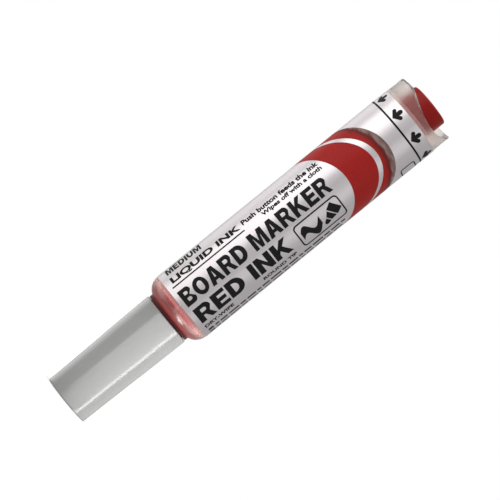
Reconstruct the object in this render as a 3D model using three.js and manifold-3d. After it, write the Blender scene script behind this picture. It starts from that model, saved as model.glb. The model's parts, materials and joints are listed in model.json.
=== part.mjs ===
// A whiteboard marker with free liquid ink and a push-button air pump at its rear end.
// It stands on its cap. Millimetres, +Z up. The origin is the centre of the cap's flat end,
// and the thumb notches in the barrel's rear rim face +Y and -Y.
//
// From the bottom up: cap with its inner liner, bullet nib, tip holder with an O-ring, finned ink
// collector around a fibre feed core, translucent barrel with its film label and its charge of ink,
// then the pump: cylinder, O-ring, umbrella valve, return spring, piston, lip seal, button, collar.

import * as THREE from "three";
import { mergeVertices } from "three/addons/utils/BufferGeometryUtils.js";
import Module from "manifold-3d";

const wasm = await Module();
wasm.setup();

// ---------------------------------------------------------------- driving dimensions

const ROUND = 32; // facets round every turned piece, so that nested walls stay parallel
const SMALL_ROUND = 16; // facets round the thin ones
const RUNNING_GAP = 0.08; // radial play where one piece slides or seals in another
const SEAT_GAP = 0.15; // play where one piece is pressed or clamped against another

const cap = { length: 33.5, endRadius: 7.05, mouthRadius: 7.57, wall: 0.98, floor: 1.6 };
const neck = { front: 27.5, outer: 6.3, bore: 5.2, collarRadius: 7.3, collarFront: 33.65 };
const barrel = {
  shoulderTop: 38.4, // where the rounded shoulder meets the straight barrel
  shoulderRound: 4.0,
  frontRadius: 9.9,
  rearRadius: 9.78,
  rim: 120.3,
  bore: 8.35,
  pumpBore: 8.5,
  pumpSeat: 98.0,
};
const rib = { count: 8, width: 0.5, inner: 7.75, front: 36.3, rear: 50.0, phase: 12.8 };
const notch = { round: 14.3, depth: 3.15 };
const film = { front: 37.4, rear: 115.6, thickness: 0.15, gap: 0.03 };
const nib = { tip: 7.2, radius: 2.5, rear: 20.0, socket: 1.3, socketDepth: 3.0 };
const holder = { nose: 12.5, flangeFront: 26.3, rear: 34.6, stem: 5.05, bore: 4.0 };
const button = {
  radius: 6.05,
  top: 121.7,
  front: 108.4,
  flange: 7.0,
  flangeThick: 1.2,
  wall: 1.1,
  crown: 1.5,
};
const pump = { bore: 7.3, floorThick: 1.2, rear: 107.6, collarRear: 114.6 };

// ---------------------------------------------------------------- shapes

const point = (radius, height) => new THREE.Vector2(radius, height);

// Points on a circular arc in the radius-height plane, angles in degrees from the +radius direction.
function arc(centreRadius, centreHeight, round, from, to, steps) {
  const points = [];
  for (let i = 0; i <= steps; i++) {
    const angle = THREE.MathUtils.degToRad(from + ((to - from) * i) / steps);
    points.push(point(centreRadius + round * Math.cos(angle), centreHeight + round * Math.sin(angle)));
  }
  return points;
}

// A profile turned round the +Z axis. The profile runs up the outside and down the inside.
function turned(profile, facets = ROUND) {
  const onAxis = profile[0].x === 0 && profile[profile.length - 1].x === 0;
  const outline = onAxis ? profile : [...profile, profile[0].clone()];
  return new THREE.LatheGeometry(outline, facets).rotateX(Math.PI / 2);
}

function solidOf(geometry) {
  const bare = geometry.index ? geometry.toNonIndexed() : geometry.clone();
  bare.deleteAttribute("normal");
  bare.deleteAttribute("uv");
  const merged = mergeVertices(bare, 1e-4);
  return new wasm.Manifold(
    new wasm.Mesh({
      numProp: 3,
      vertProperties: new Float32Array(merged.attributes.position.array),
      triVerts: new Uint32Array(merged.index.array),
    }),
  );
}

function geometryOf(solid) {
  const mesh = solid.getMesh();
  const geometry = new THREE.BufferGeometry();
  geometry.setAttribute("position", new THREE.BufferAttribute(Float32Array.from(mesh.vertProperties), 3));
  geometry.setIndex(new THREE.BufferAttribute(Uint32Array.from(mesh.triVerts), 1));
  return geometry;
}

const cut = (geometry, tools) =>
  geometryOf(tools.reduce((solid, tool) => solid.subtract(solidOf(tool)), solidOf(geometry)));

// A round ring with a circular section, such as an O-ring.
function ring(centreRadius, height, round) {
  return turned(arc(centreRadius, height, round, 0, 300, 5));
}

// ---------------------------------------------------------------- materials

const plastic = (color, roughness) => new THREE.MeshStandardMaterial({ color, roughness, metalness: 0 });
const material = {
  greyPlastic: plastic(0xbababa, 0.45),
  naturalPlastic: plastic(0xe6dcd2, 0.4),
  redPlastic: plastic(0xa82420, 0.35),
  clearPlastic: new THREE.MeshStandardMaterial({
    color: 0xd9bcb0,
    roughness: 0.25,
    metalness: 0,
    transparent: true,
    opacity: 0.5,
  }),
  silverFilm: new THREE.MeshStandardMaterial({ color: 0xc9c6c7, roughness: 0.35, metalness: 0.8 }),
  ink: plastic(0x7d1418, 0.1),
  felt: plastic(0xc23a34, 0.95),
  rubber: plastic(0x2b2b2b, 0.7),
  steel: new THREE.MeshStandardMaterial({ color: 0xb8b8bc, roughness: 0.3, metalness: 1 }),
};

const marker = new THREE.Group();

function add(name, geometry, look) {
  const mesh = new THREE.Mesh(geometry, look);
  mesh.name = name;
  marker.add(mesh);
}

// ---------------------------------------------------------------- cap

// A tapered cup, flat at its closed end so that the marker stands on it, with a low bead inside
// the mouth that grips the barrel's neck.
function capShell() {
  const endRound = 0.5;
  const mouthRound = 0.3;
  const boreEnd = cap.endRadius - cap.wall;
  const boreMouth = cap.mouthRadius - cap.wall;
  const bead = { height: 31.2, radius: neck.outer + RUNNING_GAP, half: 0.45 };
  return turned([
    point(0, 0),
    ...arc(cap.endRadius - endRound, endRound, endRound, -90, 0, 3),
    ...arc(cap.mouthRadius - mouthRound, cap.length - mouthRound, mouthRound, 0, 90, 2),
    point(boreMouth + 0.25, cap.length),
    point(boreMouth, cap.length - 0.6),
    point(boreMouth, bead.height + bead.half),
    point(bead.radius, bead.height),
    point(boreMouth, bead.height - bead.half),
    point(boreEnd, cap.floor),
    point(0, cap.floor),
  ]);
}

// The soft cup pressed into the cap, whose rear lip closes round the tip holder's nose.
function capLiner() {
  const front = cap.floor + SEAT_GAP;
  const foot = cap.endRadius - cap.wall - 0.1;
  const wall = 0.8;
  const side = foot - 0.25;
  const lip = { front: 17.4, rear: 18.5, radius: 4.68 + RUNNING_GAP };
  return turned([
    point(0, front),
    point(foot - 0.3, front),
    point(foot, front + 0.4),
    point(foot, front + 3),
    point(side, front + 3.4),
    point(side, lip.rear - 0.4),
    point(side - 0.4, lip.rear),
    point(lip.radius + 0.3, lip.rear),
    point(lip.radius, lip.rear - 0.4),
    point(lip.radius, lip.front),
    point(side - wall, lip.front - 0.8),
    point(side - wall, front + wall),
    point(0, front + wall),
  ]);
}

// ---------------------------------------------------------------- writing end

function bulletNib() {
  const tipRound = 1.9;
  return turned(
    [
      point(0, nib.tip),
      ...arc(0, nib.tip + tipRound, tipRound, -60, -25, 3),
      point(nib.radius - 0.15, nib.tip + 2.9),
      point(nib.radius, nib.tip + 4.2),
      point(nib.radius, nib.rear),
      point(nib.socket, nib.rear),
      point(nib.socket, nib.rear - nib.socketDepth),
      point(0, nib.rear - nib.socketDepth),
    ],
    SMALL_ROUND,
  );
}

// The front section: a nose round the nib, a flange that stops on the neck, and a stem in the neck's
// bore with an O-ring groove. The collector sits in its rear bore. A slot in the nose lets air in.
const ringGroove = { front: 30.2, rear: 31.1, floor: 4.4 };
function tipHolder() {
  const nibBore = nib.radius + RUNNING_GAP + 0.07;
  const counterbore = nib.rear - 1.0;
  const body = turned([
    point(3.3, holder.nose),
    point(3.6, holder.nose + 0.3),
    point(4.5, 16.0),
    point(4.68, 17.2),
    point(4.68, 19.4),
    point(5.3, 20.0),
    point(5.7, holder.flangeFront),
    point(neck.outer - 0.05, holder.flangeFront),
    point(neck.outer - 0.05, neck.front - SEAT_GAP),
    point(holder.stem, neck.front - SEAT_GAP),
    point(holder.stem, ringGroove.front),
    point(ringGroove.floor, ringGroove.front),
    point(ringGroove.floor, ringGroove.rear),
    point(holder.stem, ringGroove.rear),
    point(holder.stem, holder.rear),
    point(holder.bore, holder.rear),
    point(holder.bore, counterbore),
    point(nibBore, counterbore),
    point(nibBore, holder.nose),
  ]);
  const airSlot = new THREE.BoxGeometry(0.8, 1.2, counterbore - holder.nose + 1);
  airSlot.translate(0, -nibBore, (holder.nose + counterbore) / 2);
  return cut(body, [airSlot]);
}

// A comb of round fins that takes up ink when the air in the barrel swells, with one slot that
// feeds all the gaps and a flange that closes the rear of the tip holder.
function inkCollector() {
  const front = nib.rear + 0.3;
  const core = 2.0;
  const fin = { radius: holder.bore - 0.15, thick: 0.7, pitch: 1.8, count: 7, first: 21.2 };
  const flange = { radius: neck.bore - 0.2, front: holder.rear + SEAT_GAP, thick: 0.8 };
  const tail = 40.0;
  const bore = 1.35;
  const profile = [point(bore, front), point(core, front)];
  for (let i = 0; i < fin.count; i++) {
    const foot = fin.first + i * fin.pitch;
    profile.push(point(core, foot), point(fin.radius, foot));
    profile.push(point(fin.radius, foot + fin.thick), point(core, foot + fin.thick));
  }
  profile.push(
    point(core, flange.front),
    point(flange.radius, flange.front),
    point(flange.radius, flange.front + flange.thick),
    point(core + 0.3, flange.front + flange.thick),
    point(core, tail),
    point(bore, tail),
  );
  const slot = { width: 0.6, floor: 1.5, depth: 3, front: front + 0.6, rear: flange.front - 0.9 };
  const inkSlot = new THREE.BoxGeometry(slot.width, slot.depth, slot.rear - slot.front);
  inkSlot.translate(0, slot.floor + slot.depth / 2, (slot.front + slot.rear) / 2);
  return cut(turned(profile, 24), [inkSlot]);
}

function feedCore() {
  const radius = 1.2;
  const front = nib.rear - nib.socketDepth + SEAT_GAP;
  const rear = 41.0;
  return turned([point(0, front), point(radius, front), point(radius, rear), point(0, rear)], SMALL_ROUND);
}

// ---------------------------------------------------------------- barrel

const barrelRadiusAt = (height) =>
  THREE.MathUtils.mapLinear(height, barrel.shoulderTop, barrel.rim, barrel.frontRadius, barrel.rearRadius);

// One moulding: neck, stop collar, round shoulder, long tube, and a rim scooped out on two sides
// for the thumb. Eight ribs run down the inside of the front end.
function barrelShell() {
  const roundCentre = barrel.frontRadius - barrel.shoulderRound;
  const wall = barrel.frontRadius - barrel.bore;
  const innerRound = barrel.shoulderRound - wall;
  const floor = barrel.shoulderTop - innerRound;
  const meetAt = (neck.collarRadius - roundCentre) / barrel.shoulderRound;
  const meet = -THREE.MathUtils.radToDeg(Math.acos(meetAt));
  const rimRound = 0.25;
  const tube = turned([
    point(neck.bore, neck.front),
    point(neck.outer - 0.3, neck.front),
    point(neck.outer, neck.front + 0.3),
    point(neck.outer, neck.collarFront),
    point(neck.collarRadius, neck.collarFront),
    ...arc(roundCentre, barrel.shoulderTop, barrel.shoulderRound, meet, 0, 7),
    point(barrelRadiusAt(barrel.rim) + 0.001, barrel.rim - rimRound),
    point(barrelRadiusAt(barrel.rim) - rimRound, barrel.rim),
    point(barrel.pumpBore + 0.1, barrel.rim),
    point(barrel.pumpBore, barrel.rim - 0.1),
    point(barrel.pumpBore, barrel.pumpSeat),
    point(barrel.bore, barrel.pumpSeat),
    ...arc(roundCentre, barrel.shoulderTop, innerRound, 0, -90, 4),
    point(neck.bore, floor),
  ]);

  const scoop = new THREE.CylinderGeometry(notch.round, notch.round, 4 * barrel.frontRadius, 96);
  scoop.translate(0, 0, barrel.rim - notch.depth + notch.round);

  const depth = barrel.bore + 0.2 - rib.inner;
  let solid = solidOf(tube).subtract(solidOf(scoop));
  for (let i = 0; i < rib.count; i++) {
    const bar = new THREE.BoxGeometry(rib.width, depth, rib.rear - rib.front);
    bar.translate(0, -(rib.inner + depth / 2), (rib.rear + rib.front) / 2);
    bar.rotateZ(THREE.MathUtils.degToRad(rib.phase + (360 / rib.count) * i));
    solid = solid.add(solidOf(bar));
  }
  return geometryOf(solid);
}

// The shrunk-on film, which follows the barrel and turns in a little over the shoulder.
function labelFilm() {
  const inner = (height) => barrelRadiusAt(height) + film.gap;
  const outer = (height) => inner(height) + film.thickness;
  const turnIn = 0.1;
  return turned([
    point(inner(film.front) - turnIn, film.front),
    point(outer(film.front) - turnIn, film.front),
    point(outer(barrel.shoulderTop), barrel.shoulderTop),
    point(outer(film.rear), film.rear),
    point(inner(film.rear), film.rear),
    point(inner(barrel.shoulderTop), barrel.shoulderTop),
  ]);
}

// The liquid, as far as it fills the barrel when the marker stands on its cap. It lies round the
// collector's tail, inside the ribs, and against the wall above them.
function inkCharge() {
  const bottom = 36.15;
  const surface = 84.0;
  const tail = { radius: 2.5, rear: 41.4 };
  const insideRibs = rib.inner - 0.2;
  const insideWall = barrel.bore - 0.15;
  return turned([
    point(0, tail.rear),
    point(tail.radius, tail.rear),
    point(tail.radius, bottom),
    point(6.0, bottom),
    point(7.0, bottom + 0.9),
    point(insideRibs, bottom + 2.2),
    point(insideRibs, rib.rear + 0.2),
    point(insideWall, rib.rear + 0.2),
    point(insideWall, surface),
    point(0, surface),
  ]);
}

// ---------------------------------------------------------------- pump

const floorFront = barrel.pumpSeat + SEAT_GAP;
const floorRear = floorFront + pump.floorThick;

// The cup that closes the barrel's rear end. Air leaves it through six ports in its floor.
const cylinderGroove = { front: 101.6, rear: 102.5, floor: 7.85 };
function pumpCylinder() {
  const outer = barrel.pumpBore - 0.1;
  const stemHole = 0.8;
  const cup = turned([
    point(stemHole, floorFront),
    point(outer - 0.3, floorFront),
    point(outer, floorFront + 0.3),
    point(outer, cylinderGroove.front),
    point(cylinderGroove.floor, cylinderGroove.front),
    point(cylinderGroove.floor, cylinderGroove.rear),
    point(outer, cylinderGroove.rear),
    point(outer, pump.rear),
    point(pump.bore, pump.rear),
    point(pump.bore, floorRear),
    point(stemHole, floorRear),
  ]);
  const ports = [];
  for (let i = 0; i < 6; i++) {
    const port = new THREE.CylinderGeometry(0.45, 0.45, 3 * pump.floorThick, 8).rotateX(Math.PI / 2);
    port.translate(2.2, 0, floorFront);
    port.rotateZ((i * Math.PI) / 3);
    ports.push(port);
  }
  return cut(cup, ports);
}

// A rubber mushroom: its skirt covers the ports from below, and its bulb holds it in the floor.
function umbrellaValve() {
  const skirt = 3.4;
  const stem = 0.65;
  return turned(
    [
      point(0, floorFront - 1.3),
      point(1.6, floorFront - 1.15),
      point(skirt, floorFront - 0.45),
      point(skirt, floorFront - 0.15),
      point(stem, floorFront - 0.15),
      point(stem, floorRear + 0.15),
      point(1.15, floorRear + 0.35),
      point(0.9, floorRear + 1.1),
      point(0, floorRear + 1.5),
    ],
    SMALL_ROUND,
  );
}

const pistonFront = 106.4;

// The centre line of a compression spring with a closed coil at each end.
class SpringLine extends THREE.Curve {
  constructor(radius, bottom, top, wire) {
    super();
    Object.assign(this, { radius, bottom, top, openTurns: 3, closedTurns: 0.9, closedPitch: 1.15 * wire });
  }
  getPoint(t, target = new THREE.Vector3()) {
    const turn = t * (this.openTurns + 2 * this.closedTurns);
    const left = (1 - t) * (this.openTurns + 2 * this.closedTurns);
    const firstOpen = this.bottom + this.closedTurns * this.closedPitch;
    const lastOpen = this.top - this.closedTurns * this.closedPitch;
    let height = firstOpen + ((turn - this.closedTurns) / this.openTurns) * (lastOpen - firstOpen);
    if (turn < this.closedTurns) height = this.bottom + turn * this.closedPitch;
    if (left < this.closedTurns) height = this.top - left * this.closedPitch;
    const angle = turn * 2 * Math.PI;
    return target.set(this.radius * Math.cos(angle), this.radius * Math.sin(angle), height);
  }
}

function returnSpring() {
  const wire = 0.6;
  const line = new SpringLine(5.0, floorRear + 0.1 + wire / 2, pistonFront - 0.1 - wire / 2, wire);
  const section = new THREE.Shape(
    Array.from({ length: 6 }, (_, i) => {
      const angle = (i * Math.PI) / 3;
      return point((wire / 2) * Math.cos(angle), (wire / 2) * Math.sin(angle));
    }),
  );
  return new THREE.ExtrudeGeometry(section, { steps: 76, extrudePath: line, bevelEnabled: false });
}

// A disc whose boss plugs into the button, with a step round its front edge for the lip seal.
function pumpPiston() {
  const land = pump.bore - 0.2;
  const sealStep = 6.2;
  const boss = button.radius - button.wall - 0.1;
  return turned([
    point(0, pistonFront),
    point(sealStep, pistonFront),
    point(sealStep, pistonFront + 1.1),
    point(land, pistonFront + 1.1),
    point(land, button.front - SEAT_GAP),
    point(boss, button.front - SEAT_GAP),
    point(boss, button.front + 2.6),
    point(boss - 0.4, button.front + 3.0),
    point(0, button.front + 3.0),
  ]);
}

// Its front edge is a V whose outer lip wipes the cylinder and lets air past on the way back.
function pistonSeal() {
  const inner = 6.2 + RUNNING_GAP;
  const outer = pump.bore - RUNNING_GAP;
  const middle = (inner + outer) / 2;
  return turned([
    point(inner, pistonFront + 0.1),
    point(middle, pistonFront + 0.5),
    point(outer, pistonFront),
    point(outer, pistonFront + 0.3),
    point(outer - 0.15, pistonFront + 0.95),
    point(inner, pistonFront + 0.95),
  ]);
}

// A hollow knob with a flange at its foot that stops it in the collar.
function pushButton() {
  const crownRound = 0.5;
  const hollow = button.radius - button.wall;
  const ceiling = button.top - button.crown;
  const flangeRear = button.front + button.flangeThick;
  return turned([
    point(0, ceiling),
    point(hollow, ceiling),
    point(hollow, button.front),
    point(button.flange, button.front),
    point(button.flange, flangeRear),
    point(button.radius, flangeRear),
    ...arc(button.radius - crownRound, button.top - crownRound, crownRound, 0, 90, 3),
    point(0, button.top),
  ]);
}

// The ring pressed into the barrel behind the pump, which guides the button and keeps it in.
function retainingCollar() {
  const outer = barrel.pumpBore - 0.1;
  const front = pump.rear + SEAT_GAP;
  const step = button.front + button.flangeThick + SEAT_GAP;
  const guide = button.radius + RUNNING_GAP + 0.07;
  return turned([
    point(pump.bore, front),
    point(outer, front),
    point(outer, pump.collarRear),
    point(guide + 0.3, pump.collarRear),
    point(guide, pump.collarRear - 0.3),
    point(guide, step),
    point(pump.bore, step),
  ]);
}

// ---------------------------------------------------------------- assembly

add("cap_shell", capShell(), material.greyPlastic);
add("cap_liner", capLiner(), material.naturalPlastic);
add("nib", bulletNib(), material.felt);
add("tip_holder", tipHolder(), material.greyPlastic);
add("holder_o_ring", ring(4.79, (ringGroove.front + ringGroove.rear) / 2, 0.36), material.rubber);
add("ink_collector", inkCollector(), material.naturalPlastic);
add("feed_core", feedCore(), material.felt);
add("barrel", barrelShell(), material.clearPlastic);
add("label_film", labelFilm(), material.silverFilm);
add("ink_charge", inkCharge(), material.ink);
add("pump_cylinder", pumpCylinder(), material.naturalPlastic);
add("cylinder_o_ring", ring(8.14, (cylinderGroove.front + cylinderGroove.rear) / 2, 0.27), material.rubber);
add("umbrella_valve", umbrellaValve(), material.rubber);
add("return_spring", returnSpring(), material.steel);
add("pump_piston", pumpPiston(), material.redPlastic);
add("piston_seal", pistonSeal(), material.rubber);
add("push_button", pushButton(), material.redPlastic);
add("retaining_collar", retainingCollar(), material.naturalPlastic);

export default marker;
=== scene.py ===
"""Looks of a liquid-ink whiteboard marker with a push-button pump, piece by piece."""

import json
import math

import bmesh
import bpy
from mathutils import Matrix, Vector

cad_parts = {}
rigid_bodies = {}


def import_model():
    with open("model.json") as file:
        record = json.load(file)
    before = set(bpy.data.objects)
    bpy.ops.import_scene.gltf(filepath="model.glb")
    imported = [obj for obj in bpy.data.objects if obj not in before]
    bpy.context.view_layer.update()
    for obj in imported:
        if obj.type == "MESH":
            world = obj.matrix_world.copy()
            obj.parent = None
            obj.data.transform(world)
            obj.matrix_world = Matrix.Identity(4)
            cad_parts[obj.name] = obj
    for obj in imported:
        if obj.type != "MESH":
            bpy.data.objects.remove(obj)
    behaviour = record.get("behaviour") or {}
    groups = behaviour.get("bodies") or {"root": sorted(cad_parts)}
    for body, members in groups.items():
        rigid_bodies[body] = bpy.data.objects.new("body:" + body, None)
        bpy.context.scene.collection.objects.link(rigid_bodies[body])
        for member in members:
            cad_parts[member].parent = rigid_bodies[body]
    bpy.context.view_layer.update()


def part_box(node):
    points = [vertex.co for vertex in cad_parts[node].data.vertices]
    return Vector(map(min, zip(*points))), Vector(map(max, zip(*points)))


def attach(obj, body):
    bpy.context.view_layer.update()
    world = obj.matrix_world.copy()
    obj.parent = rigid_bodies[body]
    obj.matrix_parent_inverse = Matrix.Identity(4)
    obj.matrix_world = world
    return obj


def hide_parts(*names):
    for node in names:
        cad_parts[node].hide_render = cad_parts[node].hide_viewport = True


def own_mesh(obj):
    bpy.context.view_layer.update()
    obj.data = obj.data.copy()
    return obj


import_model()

# ---------------------------------------------------------------- barrel
# One injection moulding in natural polypropylene: neck, stop collar, round shoulder, long tube,
# and a rim scooped out on two sides for the thumb. Eight ribs run down the inside of its front
# end. The wall is milky, so what lies behind shows as a soft tint.

MM = 0.001  # outlines are given in millimetres, and Blender's unit is the metre


def reach(node):
    """A round CAD node's radius, front height and rear height, in millimetres."""
    low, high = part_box(node)
    return high.x / MM, low.z / MM, high.z / MM


barrel_radius, neck_front, rim = reach("barrel")
NECK_RADIUS, NECK_BORE = 6.3, 5.2
COLLAR_FRONT, COLLAR_RADIUS = 33.65, 7.3
SHOULDER_TOP, SHOULDER_ROUND, SHOULDER_STEPS = 38.4, 4.0, 16
REAR_RADIUS, BARREL_BORE, PUMP_BORE = 9.78, 8.35, 8.5
PUMP_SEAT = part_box("pump_cylinder")[0].z / MM - 0.15
SCOOP_ROUND, SCOOP_DEPTH = 14.3, 3.15
SCOOPED_LENGTH = 4.2  # the rear stretch of the wall that the scoops reach into
RIBS, RIB_INNER, RIB_REAR, RIB_HALF = 8, 7.75, 50.0, 0.3
RIB_PHASE = 12.8  # degrees from -Y to the first rib
SEAT_SHADE_REAR, SEAT_SHADE_FADE = 34.3, 0.5  # where the painted shade in the recess at the cap's seat ends, and how softly
SOLID_REAR, SOLID_FADE = 36.0, 1.0  # where the deep red of the solid front ends
CLOUDY_REAR, CLEAR_FRONT = 35.5, 36.7  # the moulding turns clear from the first to the second
MATT_REAR, POLISHED_FRONT = 34.7, 36.2  # and its skin turns from matt to polished
RIB_FRONT, RIB_PALENESS = 36.4, 0.6  # where the ribs start to show through, and how strongly
STAIN_FRONT, STAIN_REAR = 60, 100  # the wall pales from the first height to the second
FILLET_STEP = math.radians(12)


def softened(corners):
    """An outline of (radius, height, fillet) corners, with each fillet drawn as an arc."""
    points = []
    for i, (radius, height, fillet) in enumerate(corners):
        here = Vector((radius, height))
        if not fillet:
            points.append(here)
            continue
        back = (Vector(corners[i - 1][:2]) - here).normalized()
        onward = (Vector(corners[(i + 1) % len(corners)][:2]) - here).normalized()
        half = back.angle(onward) / 2
        centre = here + (back + onward).normalized() * fillet / math.sin(half)
        start = here + back * fillet / math.tan(half) - centre
        end = here + onward * fillet / math.tan(half) - centre
        turn = start.angle_signed(end)
        steps = max(2, math.ceil(abs(turn) / FILLET_STEP))
        for k in range(steps + 1):
            angle = -turn * k / steps
            points.append(centre + Vector((
                start.x * math.cos(angle) - start.y * math.sin(angle),
                start.x * math.sin(angle) + start.y * math.cos(angle),
            )))
    return points


CREASE = 32  # degrees between two faces that show as an edge


def finish_mesh(name, mesh, material, sharp=CREASE):
    """Shades a mesh smooth up to a crease angle in degrees, and puts it in the scene."""
    mesh.shade_smooth()
    mesh.set_sharp_from_angle(angle=math.radians(sharp))
    mesh.materials.append(material)
    piece = bpy.data.objects.new(name, mesh)
    bpy.context.scene.collection.objects.link(piece)
    return piece


def turned(name, outline, material, facets=144, reshape=None):
    """A surface turned about Z. The outline runs up the outside and down the inside, and
    reshape may shift each of its points at each angle."""
    mesh = bpy.data.meshes.new(name)
    solid = bmesh.new()
    rings = []
    for radius, height in outline:
        if radius < 1e-6:
            rings.append([solid.verts.new((0, 0, height * MM))])
            continue
        ring = []
        for k in range(facets):
            angle = 2 * math.pi * k / facets
            r, z = reshape(radius, height, angle) if reshape else (radius, height)
            ring.append(solid.verts.new((r * math.sin(angle) * MM, -r * math.cos(angle) * MM, z * MM)))
        rings.append(ring)
    on_axis = len(rings[0]) == 1
    pairs = list(zip(rings, rings[1:])) + ([] if on_axis else [(rings[-1], rings[0])])
    for low, high in pairs:
        for k in range(facets):
            n = (k + 1) % facets
            corners = [low[k % len(low)], low[n % len(low)], high[n % len(high)], high[k % len(high)]]
            solid.faces.new(list(dict.fromkeys(corners)))
    solid.to_mesh(mesh)
    solid.free()
    return finish_mesh(name, mesh, material)


def linear(hex_colour):
    """An sRGB hex colour as linear red, green, blue and alpha."""
    parts = [int(hex_colour[i:i + 2], 16) / 255 for i in (1, 3, 5)]
    return [p / 12.92 if p <= 0.04045 else ((p + 0.055) / 1.055) ** 2.4 for p in parts] + [1]


def start_material(name):
    """A new node material and its shader."""
    material = bpy.data.materials.new(name)
    material.use_nodes = True
    return material, material.node_tree.nodes["Principled BSDF"]


def add_node(material, kind, inputs, give=None, **settings):
    """Adds a node and returns one of its outputs, by default the first. Each input is given a
    value, or the output that feeds it."""
    node = material.node_tree.nodes.new(kind)
    for setting, value in settings.items():
        setattr(node, setting, value)
    for name, value in inputs.items():
        socket = node.inputs[name] if isinstance(name, int) else next(
            s for s in node.inputs if s.enabled and s.name == name
        )
        if isinstance(value, bpy.types.NodeSocket):
            material.node_tree.links.new(value, socket)
        else:
            socket.default_value = value
    return next(s for s in node.outputs if s.enabled and s.name == (give or s.name))


def feed(material, shader, **sockets):
    """Sets the shader's sockets, named with underscores, to values or to outputs."""
    for name, value in sockets.items():
        socket = shader.inputs[name.replace("_", " ")]
        if isinstance(value, bpy.types.NodeSocket):
            material.node_tree.links.new(value, socket)
        else:
            socket.default_value = value


def rib_cloud(material, place, height):
    """How cloudy a rib's thickness makes the wall: nought anywhere but on the ribs in the bore."""
    across = add_node(material, "ShaderNodeSeparateXYZ", {"Vector": place}, give="X")
    deep = add_node(material, "ShaderNodeSeparateXYZ", {"Vector": place}, give="Y")
    turn = add_node(material, "ShaderNodeMath", {0: deep, 1: across}, operation="ARCTAN2")
    from_first = add_node(material, "ShaderNodeMath", {
        0: turn, 1: math.radians(RIB_PHASE),
    }, operation="SUBTRACT")
    from_rib = add_node(material, "ShaderNodeMath", {0: from_first, 1: math.pi / RIBS}, operation="PINGPONG")
    half = RIB_HALF / RIB_INNER
    on_rib = add_node(material, "ShaderNodeMapRange", {
        "Value": from_rib, "From Min": half, "From Max": 1.2 * half,
        "To Min": RIB_PALENESS, "To Max": 0.0,
    })
    flat = add_node(material, "ShaderNodeVectorMath", {0: place, 1: (1, 1, 0)}, operation="MULTIPLY")
    radius = add_node(material, "ShaderNodeVectorMath", {0: flat}, give="Value", operation="LENGTH")
    inside = add_node(material, "ShaderNodeMapRange", {
        "Value": radius, "From Min": BARREL_BORE * MM, "From Max": (BARREL_BORE + 0.1) * MM,
        "To Min": 1.0, "To Max": 0.0,
    })
    past_front = add_node(material, "ShaderNodeMath", {
        0: height, 1: RIB_FRONT * MM,
    }, operation="GREATER_THAN")
    in_bore = add_node(material, "ShaderNodeMath", {0: inside, 1: past_front}, operation="MULTIPLY")
    return add_node(material, "ShaderNodeMath", {0: on_rib, 1: in_bore}, operation="MULTIPLY")


def natural_polypropylene(name, seat_shade, front, stained, clean):
    """Milky moulded polypropylene: on the cap's seat, the ink's dark red with painted shade for the
    recess under the cap's mouth; deep red in the solid front of the shoulder, pink where ink shows
    through the wall, clean past that. Its cloudiness varies over a few millimetres, as the melt
    flowed, and the ribs show as paler lines."""
    material, shader = start_material(name)
    place = add_node(material, "ShaderNodeTexCoord", {}, give="Object")
    cloud = add_node(material, "ShaderNodeTexNoise", {"Vector": place, "Scale": 1 / (6 * MM), "Detail": 3})
    height = add_node(material, "ShaderNodeSeparateXYZ", {"Vector": place}, give="Z")
    red, milky = [add_node(material, "ShaderNodeMix", {
        "Factor": cloud, "A": linear(pair[0]), "B": linear(pair[1]),
    }, data_type="RGBA") for pair in (stained, clean)]
    past_stain = add_node(material, "ShaderNodeMapRange", {
        "Value": height, "From Min": STAIN_FRONT * MM, "From Max": STAIN_REAR * MM,
    })
    tint = add_node(material, "ShaderNodeMix", {
        "Factor": past_stain, "A": red, "B": milky,
    }, data_type="RGBA")
    # The seat's colour is the ink's red darkened with painted shade, for the recess under the cap's mouth.
    for colour, rear, fade in ((front, SOLID_REAR, SOLID_FADE), (seat_shade, SEAT_SHADE_REAR, SEAT_SHADE_FADE)):
        past = add_node(material, "ShaderNodeMapRange", {
            "Value": height, "From Min": rear * MM, "From Max": (rear + fade) * MM,
        })
        tint = add_node(material, "ShaderNodeMix", {
            "Factor": past, "A": linear(colour), "B": tint,
        }, data_type="RGBA")
    rib = rib_cloud(material, place, height)
    tint = add_node(material, "ShaderNodeMix", {
        "Factor": rib, "A": tint, "B": linear(clean[0]),
    }, data_type="RGBA")
    see_through = add_node(material, "ShaderNodeMapRange", {
        "Value": height, "From Min": CLOUDY_REAR * MM, "From Max": CLEAR_FRONT * MM,
        "To Min": 0.5, "To Max": 0.99,
    })
    clearness = add_node(material, "ShaderNodeMix", {"Factor": rib, "A": see_through, "B": 0.15})
    polish = add_node(material, "ShaderNodeMapRange", {
        "Value": height, "From Min": MATT_REAR * MM, "From Max": POLISHED_FRONT * MM, "To Max": 0.6,
    })
    grain = add_node(material, "ShaderNodeTexNoise", {"Vector": place, "Scale": 1 / (0.5 * MM)})
    bump = add_node(material, "ShaderNodeBump", {
        "Height": grain, "Strength": 0.02, "Distance": 0.02 * MM,
    })
    feed(material, shader, Base_Color=tint, Normal=bump, Roughness=0.35, IOR=1.49, Specular_IOR_Level=0.2,
         Transmission_Weight=clearness, Coat_Weight=polish, Coat_Roughness=0.05)
    return material


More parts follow.
